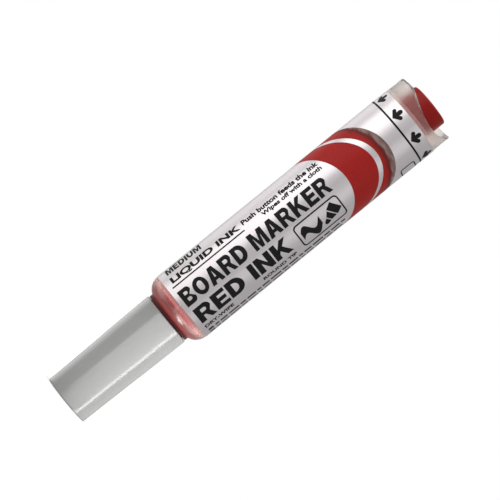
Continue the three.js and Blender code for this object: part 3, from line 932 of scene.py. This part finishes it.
comb = [(COLLECTOR_BORE, collector_front), (COLLECTOR_CORE, collector_front)]
for fin in range(FINS):
    foot = FIRST_FIN + fin * FIN_PITCH
    comb += [(COLLECTOR_CORE, foot), (FIN_RADIUS, foot), (FIN_RADIUS, foot + FIN_THICK),
             (COLLECTOR_CORE, foot + FIN_THICK)]
comb += [
    (COLLECTOR_CORE, COLLECTOR_FLANGE), (collector_radius, COLLECTOR_FLANGE),
    (collector_radius, COLLECTOR_FLANGE_REAR), (COLLECTOR_CORE + 0.3, COLLECTOR_FLANGE_REAR),
    (COLLECTOR_CORE, collector_rear), (COLLECTOR_BORE, collector_rear),
]
collector = turned("ink_collector_fine", comb,
                   satin_moulding("natural_polypropylene_ink_stained", ("#C4504A", "#D2665F"), 0.35),
                   reshape=ink_slotted)
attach(collector, "barrel")
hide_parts("ink_collector")

# ---------------------------------------------------------------- nib and feed core
# Polyester fibres, bonded side by side into a rod, soaked with red ink. The nib is ground to a
# round bullet. The feed core runs from its socket through the collector into the ink.

nib_radius, nib_tip, nib_rear = reach("nib")
NIB_DOME, NIB_SOCKET, SOCKET_DEPTH = 4.2, 1.3, 3.0
core_radius, core_front, core_rear = reach("feed_core")


def ink_soaked_fibre(name, colours):
    """Bonded polyester fibre: fine strands lengthwise, matt, unevenly soaked. The strands are
    drawn 0.15 mm apart, coarser than real ones, so that they show."""
    material, shader = start_material(name)
    place = add_node(material, "ShaderNodeTexCoord", {}, give="Object")
    along = add_node(material, "ShaderNodeMapping", {"Vector": place, "Scale": (1, 1, 0.03)})
    strands = add_node(material, "ShaderNodeTexNoise", {
        "Vector": along, "Scale": 1 / (0.15 * MM), "Detail": 2,
    })
    wet = clouded(material, place, 1.6, colours[:2], detail=2)
    tint = add_node(material, "ShaderNodeMix", {
        "Factor": strands, "A": wet, "B": linear(colours[2]),
    }, data_type="RGBA")
    bump = add_node(material, "ShaderNodeBump", {
        "Height": strands, "Strength": 0.5, "Distance": 0.06 * MM,
    })
    feed(material, shader, Base_Color=tint, Normal=bump, Roughness=0.85, IOR=1.5)
    return material


fibre = ink_soaked_fibre("polyester_fibre_bonded", ("#8E1A1C", "#B5302E", "#D0655E"))
quarter_turn = [math.radians(6 * k) for k in range(16)]
dome = [(nib_radius * math.sin(a), nib_tip + NIB_DOME * (1 - math.cos(a))) for a in quarter_turn]
nib = turned("nib_fine", dome + softened([
    (nib_radius, nib_tip + NIB_DOME, 0), (nib_radius, nib_rear, 0.1), (NIB_SOCKET, nib_rear, 0.05),
    (NIB_SOCKET, nib_rear - SOCKET_DEPTH, 0), (0, nib_rear - SOCKET_DEPTH, 0),
])[1:], fibre, facets=96)
feed_core = turned("feed_core_fine", softened([
    (0, core_front, 0), (core_radius, core_front, 0.1), (core_radius, core_rear, 0.1), (0, core_rear, 0),
]), fibre, facets=64)
for rod, node in ((nib, "nib"), (feed_core, "feed_core")):
    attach(rod, "barrel")
    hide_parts(node)

# ---------------------------------------------------------------- pump cylinder
# A cup in natural polypropylene that closes the barrel's rear end, with an O-ring round it. Air
# goes through six ports in its floor.

cylinder_radius, cylinder_front, cylinder_rear = reach("pump_cylinder")
CYLINDER_BORE, CYLINDER_FLOOR, STEM_HOLE = 7.3, 1.2, 0.8
SEAL_FRONT, SEAL_REAR, SEAL_FLOOR = 101.6, 102.5, 7.85
PORTS, PORT_RADIUS, PORT_RING = 6, 0.45, 2.2


def drilled(piece, cutter):
    """Takes one closed mesh out of a piece."""
    drill = bpy.data.objects.new("drill", cutter)
    bpy.context.scene.collection.objects.link(drill)
    cut = piece.modifiers.new("drill", "BOOLEAN")
    cut.operation, cut.solver, cut.object = "DIFFERENCE", "EXACT", drill
    result = worked_out(piece)
    piece.modifiers.clear()
    piece.data = result
    result.set_sharp_from_angle(angle=math.radians(CREASE))
    bpy.data.objects.remove(drill)


natural_moulding = satin_moulding("natural_polypropylene_satin", ("#E3D9CD", "#ECE3D9"), 0.32)
cylinder = turned("pump_cylinder_fine", softened([
    (STEM_HOLE, cylinder_front, 0), (cylinder_radius, cylinder_front, 0.3),
    (cylinder_radius, SEAL_FRONT, 0.05), (SEAL_FLOOR, SEAL_FRONT, 0.05),
    (SEAL_FLOOR, SEAL_REAR, 0.05), (cylinder_radius, SEAL_REAR, 0.05),
    (cylinder_radius, cylinder_rear, 0.15), (CYLINDER_BORE, cylinder_rear, 0.2),
    (CYLINDER_BORE, cylinder_front + CYLINDER_FLOOR, 0.15), (STEM_HOLE, cylinder_front + CYLINDER_FLOOR, 0),
]), natural_moulding)
drills = bmesh.new()
for port in range(PORTS):
    turn = 2 * math.pi * port / PORTS
    place = Vector((PORT_RING * math.cos(turn), PORT_RING * math.sin(turn), cylinder_front)) * MM
    bmesh.ops.create_cone(drills, cap_ends=True, segments=24, depth=3 * CYLINDER_FLOOR * MM,
                          radius1=PORT_RADIUS * MM, radius2=PORT_RADIUS * MM,
                          matrix=Matrix.Translation(place))
port_holes = bpy.data.meshes.new("port_holes")
drills.to_mesh(port_holes)
drills.free()
drilled(cylinder, port_holes)
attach(cylinder, "barrel")
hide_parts("pump_cylinder")
o_ring("cylinder_o_ring_fine", "cylinder_o_ring", 0.54, rubber)

# ---------------------------------------------------------------- umbrella valve
# A rubber mushroom, its bulb pulled through the cylinder's floor. Its skirt lets air out of the
# pump into the barrel and nothing back.

valve_radius, valve_front, valve_rear = reach("umbrella_valve")
FLOOR_REAR = cylinder_front + CYLINDER_FLOOR
SKIRT_REAR, VALVE_STEM, BULB_RADIUS = cylinder_front - 0.15, 0.65, 1.15
valve = turned("umbrella_valve_fine", softened([
    (0, valve_front, 0), (1.6, valve_front + 0.15, 0.6), (valve_radius, SKIRT_REAR - 0.3, 0.1),
    (valve_radius, SKIRT_REAR, 0.05), (VALVE_STEM, SKIRT_REAR, 0.05), (VALVE_STEM, FLOOR_REAR + 0.15, 0.05),
    (BULB_RADIUS, FLOOR_REAR + 0.35, 0.15), (0.9, FLOOR_REAR + 1.1, 0.3), (0, valve_rear, 0),
]), rubber, facets=96)
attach(valve, "barrel")
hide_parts("umbrella_valve")

# ---------------------------------------------------------------- return spring
# Stainless wire, wound cold on a mandrel with a closed coil at each end. It stands on the
# cylinder's floor, pushes the piston back, and shortens as the button is pressed.

spring_low, spring_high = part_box("return_spring")
WIRE, SPRING_RADIUS, OPEN_TURNS, CLOSED_TURNS, CLOSED_PITCH = 0.6, 5.0, 3, 0.9, 0.69
POINTS_A_TURN = 48


def drawn_spring_wire():
    """Drawn stainless wire: bright metal with fine lengthwise die marks."""
    material, shader = start_material("stainless_wire_drawn")
    place = add_node(material, "ShaderNodeTexCoord", {}, give="Object")
    marks = add_node(material, "ShaderNodeTexNoise", {"Vector": place, "Scale": 1 / (0.2 * MM), "Detail": 3})
    tint = add_node(material, "ShaderNodeMix", {
        "Factor": marks, "A": linear("#A6A6AA"), "B": linear("#C2C2C6"),
    }, data_type="RGBA")
    gloss = add_node(material, "ShaderNodeMapRange", {"Value": marks, "To Min": 0.22, "To Max": 0.38})
    feed(material, shader, Base_Color=tint, Roughness=gloss, Metallic=1.0)
    return material


def spring_height(turn):
    """The wire's height over the closed coil, the open coils and the closed coil again."""
    foot, head = spring_low.z / MM + WIRE / 2, spring_high.z / MM - WIRE / 2
    ramp = CLOSED_TURNS * CLOSED_PITCH
    left = OPEN_TURNS + 2 * CLOSED_TURNS - turn
    if turn < CLOSED_TURNS:
        return foot + turn * CLOSED_PITCH
    if left < CLOSED_TURNS:
        return head - left * CLOSED_PITCH
    return foot + ramp + (turn - CLOSED_TURNS) / OPEN_TURNS * (head - foot - 2 * ramp)


wire = bpy.data.curves.new("wire", "CURVE")
wire.dimensions, wire.bevel_depth, wire.bevel_resolution, wire.use_fill_caps = "3D", WIRE / 2 * MM, 4, True
coils = wire.splines.new("POLY")
wire_points = round((OPEN_TURNS + 2 * CLOSED_TURNS) * POINTS_A_TURN)
coils.points.add(wire_points)
for k, coil_point in enumerate(coils.points):
    turn = k / POINTS_A_TURN
    angle = 2 * math.pi * turn
    coil_point.co = (SPRING_RADIUS * math.cos(angle) * MM, SPRING_RADIUS * math.sin(angle) * MM,
                     spring_height(turn) * MM, 1)
holder = bpy.data.objects.new("wire", wire)
bpy.context.scene.collection.objects.link(holder)
spring_mesh = worked_out(holder)
bpy.data.objects.remove(holder)
spring = finish_mesh("return_spring_fine", spring_mesh, drawn_spring_wire(), sharp=60)
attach(spring, "barrel")
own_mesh(spring)
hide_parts("return_spring")

# ---------------------------------------------------------------- cap
# A tapered cup in grey polypropylene, flat at its closed end. It came off a polished core and out
# of a finely blasted cavity, so it has an even satin sheen.

cap_radius, cap_front, cap_rear = reach("cap_shell")
CAP_END_RADIUS, CAP_WALL, CAP_FLOOR = 7.05, 0.98, 1.6
BEAD_HEIGHT, BEAD_HALF = 31.2, 0.45


def grey_polypropylene():
    """Grey moulded polypropylene: an even satin sheen that draws a lamp out into a soft-edged
    streak, and a body colour that clouds very slightly over a few millimetres."""
    material, shader = start_material("grey_polypropylene_moulded")
    place = add_node(material, "ShaderNodeTexCoord", {}, give="Object")
    tint = clouded(material, place, 8, ("#919190", "#999998"))
    grain = add_node(material, "ShaderNodeTexNoise", {
        "Vector": place, "Scale": 1 / (0.25 * MM), "Detail": 2,
    })
    gloss = add_node(material, "ShaderNodeMapRange", {
        "Value": grain, "To Min": 0.18, "To Max": 0.22,
    })
    bump = add_node(material, "ShaderNodeBump", {
        "Height": grain, "Strength": 0.02, "Distance": 0.02 * MM,
    })
    feed(material, shader, Base_Color=tint, Roughness=gloss, Normal=bump, IOR=1.49)
    return material


grey_plastic = grey_polypropylene()
cap = turned("cap_shell_fine", softened([
    (0, cap_front, 0), (CAP_END_RADIUS, cap_front, 0.45), (cap_radius, cap_rear, 0.35),
    (cap_radius - CAP_WALL, cap_rear, 0.25), (cap_radius - CAP_WALL, BEAD_HEIGHT + BEAD_HALF, 0),
    (NECK_RADIUS + 0.08, BEAD_HEIGHT, 0.2), (cap_radius - CAP_WALL, BEAD_HEIGHT - BEAD_HALF, 0),
    (CAP_END_RADIUS - CAP_WALL, CAP_FLOOR, 0.3), (0, CAP_FLOOR, 0),
]), grey_plastic)
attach(cap, "cap")
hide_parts("cap_shell")

# ---------------------------------------------------------------- cap liner
# A soft cup in natural polyethylene, pressed into the cap. Its lip closes round the tip holder's
# nose, so that the nib doesn't dry out.

liner_foot, liner_front, liner_rear = reach("cap_liner")
LINER_SIDE, LINER_WALL, LIP_RADIUS, LIP_FRONT = 5.72, 0.8, 4.76, 17.4

liner = turned("cap_liner_fine", softened([
    (0, liner_front, 0), (liner_foot, liner_front, 0.4), (liner_foot, liner_front + 3, 0.3),
    (LINER_SIDE, liner_front + 3.4, 0.3), (LINER_SIDE, liner_rear, 0.4), (LIP_RADIUS, liner_rear, 0.35),
    (LIP_RADIUS, LIP_FRONT, 0.2), (LINER_SIDE - LINER_WALL, LIP_FRONT - 0.8, 0.2),
    (LINER_SIDE - LINER_WALL, liner_front + LINER_WALL, 0.3), (0, liner_front + LINER_WALL, 0),
]), satin_moulding("natural_polyethylene_moulded", ("#E4D3CB", "#EFE6DE"), 0.38))
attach(liner, "cap")
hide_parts("cap_liner")

# ---------------------------------------------------------------- push button
# A hollow knob moulded in red polypropylene, closed by a thick crown. The flange at its foot
# stops it in the collar, and the piston's boss is pushed up into it.

flange_radius, button_front, button_top = reach("push_button")
BUTTON_RADIUS, BUTTON_WALL, BUTTON_CROWN, FLANGE_THICK = 6.05, 1.1, 1.5, 1.2


def red_polypropylene():
    """Red moulded polypropylene: a deep opaque colour with a dull shine, clouded very slightly."""
    material, shader = start_material("red_polypropylene_moulded")
    place = add_node(material, "ShaderNodeTexCoord", {}, give="Object")
    tint = clouded(material, place, 5, ("#821815", "#761412"))
    feed(material, shader, Base_Color=tint, Roughness=0.35, IOR=1.49, Specular_IOR_Level=0.12)
    return material


button_plastic = red_polypropylene()
button = turned("push_button_fine", softened([
    (0, button_top - BUTTON_CROWN, 0), (BUTTON_RADIUS - BUTTON_WALL, button_top - BUTTON_CROWN, 0.4),
    (BUTTON_RADIUS - BUTTON_WALL, button_front, 0), (flange_radius, button_front, 0.15),
    (flange_radius, button_front + FLANGE_THICK, 0.15), (BUTTON_RADIUS, button_front + FLANGE_THICK, 0.1),
    (BUTTON_RADIUS, button_top, 0.5), (0, button_top, 0),
]), button_plastic)
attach(button, "button")
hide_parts("push_button")

# ---------------------------------------------------------------- piston and its seal
# A red polypropylene disc whose boss plugs into the button, with a lip seal in nitrile rubber on
# the step round its front edge. The lip wipes the cylinder on the way down.

piston_radius, piston_front, piston_rear = reach("pump_piston")
SEAL_STEP, SEAL_STEP_REAR, LAND_REAR, BOSS_RADIUS = 6.2, piston_front + 1.1, button_front - 0.15, 4.85
seal_radius, seal_front, seal_rear = reach("piston_seal")
SEAL_INNER = SEAL_STEP + 0.08

piston = turned("pump_piston_fine", softened([
    (0, piston_front, 0), (SEAL_STEP, piston_front, 0.15), (SEAL_STEP, SEAL_STEP_REAR, 0.05),
    (piston_radius, SEAL_STEP_REAR, 0.1), (piston_radius, LAND_REAR, 0.1), (BOSS_RADIUS, LAND_REAR, 0.1),
    (BOSS_RADIUS, piston_rear, 0.4), (0, piston_rear, 0),
]), button_plastic)
seal = turned("piston_seal_fine", softened([
    (SEAL_INNER, seal_front + 0.1, 0.05), ((SEAL_INNER + seal_radius) / 2, seal_front + 0.5, 0.1),
    (seal_radius, seal_front, 0.03), (seal_radius, seal_front + 0.3, 0.1),
    (seal_radius - 0.15, seal_rear, 0.1), (SEAL_INNER, seal_rear, 0.1),
]), rubber)
for piece, node, slot in ((piston, "pump_piston", "button_plastic"), (seal, "piston_seal", "seal_rubber")):
    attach(piece, "button")
    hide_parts(node)

# ---------------------------------------------------------------- retaining collar
# A ring in natural polypropylene, pressed into the barrel behind the pump. It guides the button
# and keeps its flange in.

collar_radius, collar_front, collar_rear = reach("retaining_collar")
GUIDE_RADIUS, COLLAR_STEP = 6.2, button_front + FLANGE_THICK + 0.15

collar = turned("retaining_collar_fine", softened([
    (CYLINDER_BORE, collar_front, 0.1), (collar_radius, collar_front, 0.15),
    (collar_radius, collar_rear, 0.2), (GUIDE_RADIUS, collar_rear, 0.3),
    (GUIDE_RADIUS, COLLAR_STEP, 0.1), (CYLINDER_BORE, COLLAR_STEP, 0.1),
]), natural_moulding)
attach(collar, "barrel")
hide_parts("retaining_collar")

# ---------------------------------------------------------------- studio
# A pale floor in an even white room. Each lamp lights only some pieces, the way its finish needs:
# a streak and a panel that the satin cap mirrors, a glint and two soft veils on the clear shoulder,
# wide lamps for the silver film, and one above for everything but the clear barrel.


def hang_lamp(name, place, facing_back, width, height, power, pieces, shed=True, mirrored=True):
    """A rectangular light at a place that shines away from the direction facing_back, on to
    some pieces and nothing else. shed is whether they scatter it, mirrored whether they gleam."""
    light = bpy.data.lights.new(name, "AREA")
    light.shape = "RECTANGLE"
    light.size, light.size_y = width, height
    light.energy = power
    holder = bpy.data.objects.new(name, light)
    bpy.context.scene.collection.objects.link(holder)
    holder.location = place
    holder.rotation_euler = facing_back.to_track_quat("Z", "Y").to_euler()
    holder.visible_camera = False
    holder.visible_diffuse, holder.visible_glossy = shed, mirrored
    lit = bpy.data.collections.new(name + "_lights")
    for piece in pieces:
        lit.objects.link(piece)
    holder.light_linking.receiver_collection = lit


def around(azimuth, distance, height):
    """The place that many degrees round from -Y, that far from the marker's axis and that high."""
    turn = math.radians(azimuth)
    return Vector((math.sin(turn) * distance, -math.cos(turn) * distance, height))


def stand_lamp(name, azimuth, distance, width, height, power, pieces, foot=0.0, **looks):
    """An upright lamp that faces the marker's axis, with its lower edge at the height foot."""
    place = around(azimuth, distance, foot + height / 2)
    hang_lamp(name, place, around(azimuth, 1, 0), width, height, power, pieces, **looks)


FLOOR_RADIUS = 0.45
floor_edge = [around(5 * k, FLOOR_RADIUS, 0) for k in range(72)]
floor_mesh = bpy.data.meshes.new("floor")
floor_mesh.from_pydata(floor_edge, [], [range(72)])
floor_paint, floor_shader = start_material("white_floor")
feed(floor_paint, floor_shader, Base_Color=linear("#F9F9F9"), Roughness=0.9)
floor = finish_mesh("floor", floor_mesh, floor_paint)
floor.visible_glossy = floor.visible_shadow = False  # the lamps shine and are mirrored through it

label_pieces = [o for o in bpy.data.objects if o.name.startswith("label_")]
all_but_barrel = [o for o in bpy.data.objects if o.type == "MESH" and o is not barrel]
UNDER_FLOOR = -0.06  # low enough for the cap to mirror a lamp down to its closed end
RING = 0.35  # how far most lamps stand from the marker, in metres like the rest of the studio
SHOULDER = around(0, 0, 0.038)
GLINT_PLACE, GLINT_ON_SHOULDER = around(NEAR + 47, 0.0216, -0.004), around(NEAR + 15, 0.0092, 0.0359)
VEIL_DISTANCE, VEIL_HEIGHT, VEIL_SIZE = 0.13, -0.05, 0.12

stand_lamp("streak_light", NEAR + 64, 0.05, 0.0085, 0.16, 0.053, [cap], foot=UNDER_FLOOR, shed=False)
stand_lamp("panel_light", NEAR + 12, 0.3, 0.72, 0.3, 2.4, [cap], foot=UNDER_FLOOR, shed=False)
hang_lamp("glint_light", GLINT_PLACE, GLINT_PLACE - GLINT_ON_SHOULDER, 0.019, 0.012, 0.011, [barrel])
for name, azimuth, power in (("right_veil", NEAR + 92, 0.075), ("left_veil", NEAR - 88, 0.043)):
    place = around(azimuth, VEIL_DISTANCE, VEIL_HEIGHT)
    hang_lamp(name, place, place - SHOULDER, VEIL_SIZE, VEIL_SIZE, power, [barrel], shed=False)
stand_lamp("rim_light", NEAR - 130, RING, 0.3, 0.3, 0.38, [cap], foot=UNDER_FLOOR, shed=False)
stand_lamp("side_light", NEAR + 90, RING, 0.6, 0.14, 1.6, [cap], mirrored=False)
stand_lamp("right_ink_light", NEAR + 72, RING, 0.6, 0.14, 0.42, [ink, collector])
stand_lamp("left_ink_light", NEAR - 75, RING, 0.6, 0.14, 0.95, [ink, collector])
stand_lamp("broad_light", NEAR - 56, RING, 0.42, 0.5, 1.05, label_pieces + [button])
stand_lamp("soft_light", NEAR + 44, RING, 0.2, 0.5, 0.16, label_pieces)
stand_lamp("edge_light", NEAR - 125, RING, 0.25, 0.5, 0.3, label_pieces)
hang_lamp("top_light", around(0, 0, 0.8), around(0, 0, 1), 1.0, 1.0, 9.0, all_but_barrel)
barrel.visible_shadow = False  # the clear wall lets the lamps through to what is inside it

SURROUND = 0.5  # how much light the room gives, against the white seen behind and through things
world = bpy.data.worlds.new("white_surround")
world.use_nodes = True
room = world.node_tree.nodes["Background"]
room.inputs["Color"].default_value = (1, 1, 1, 1)
room.inputs["Strength"].default_value = SURROUND
backdrop = add_node(world, "ShaderNodeBackground", {"Color": (1, 1, 1, 1)})
seen = add_node(world, "ShaderNodeLightPath", {}, give="Is Camera Ray")
seen_through = add_node(world, "ShaderNodeLightPath", {}, give="Is Transmission Ray")
seen_at_all = add_node(world, "ShaderNodeMath", {0: seen, 1: seen_through}, operation="MAXIMUM")
either = add_node(world, "ShaderNodeMixShader", {0: seen_at_all, 1: room.outputs[0], 2: backdrop})
world.node_tree.links.new(either, world.node_tree.nodes["World Output"].inputs["Surface"])
bpy.context.scene.world = world
bpy.context.scene.view_settings.view_transform = "Standard"

# ---------------------------------------------------------------- camera
# A little below the marker's middle and far off on a long lens, turned so that the marker lies
# aslant with its button up and to the right.

CAMERA_DISTANCE, CAMERA_HEIGHT, CAMERA_LENS = 0.706, 0.047, 196
AIM_HEIGHT, AIM_ASIDE = 0.0615, -0.0002
SLANT = math.radians(39.13)

eye = around(NEAR, CAMERA_DISTANCE, CAMERA_HEIGHT)
aim = around(NEAR + 90, AIM_ASIDE, AIM_HEIGHT)
back = (eye - aim).normalized()
upright = (Vector((0, 0, 1)) - back * back.z).normalized()
level = upright.cross(back)
right = upright * math.cos(SLANT) + level * math.sin(SLANT)
up = upright * math.sin(SLANT) - level * math.cos(SLANT)

camera_data = bpy.data.cameras.new("camera")
camera_data.lens = CAMERA_LENS
camera = bpy.data.objects.new("camera", camera_data)
bpy.context.scene.collection.objects.link(camera)
camera.matrix_world = Matrix((right, up, back)).transposed().to_4x4()
camera.location = eye
bpy.context.scene.camera = camera
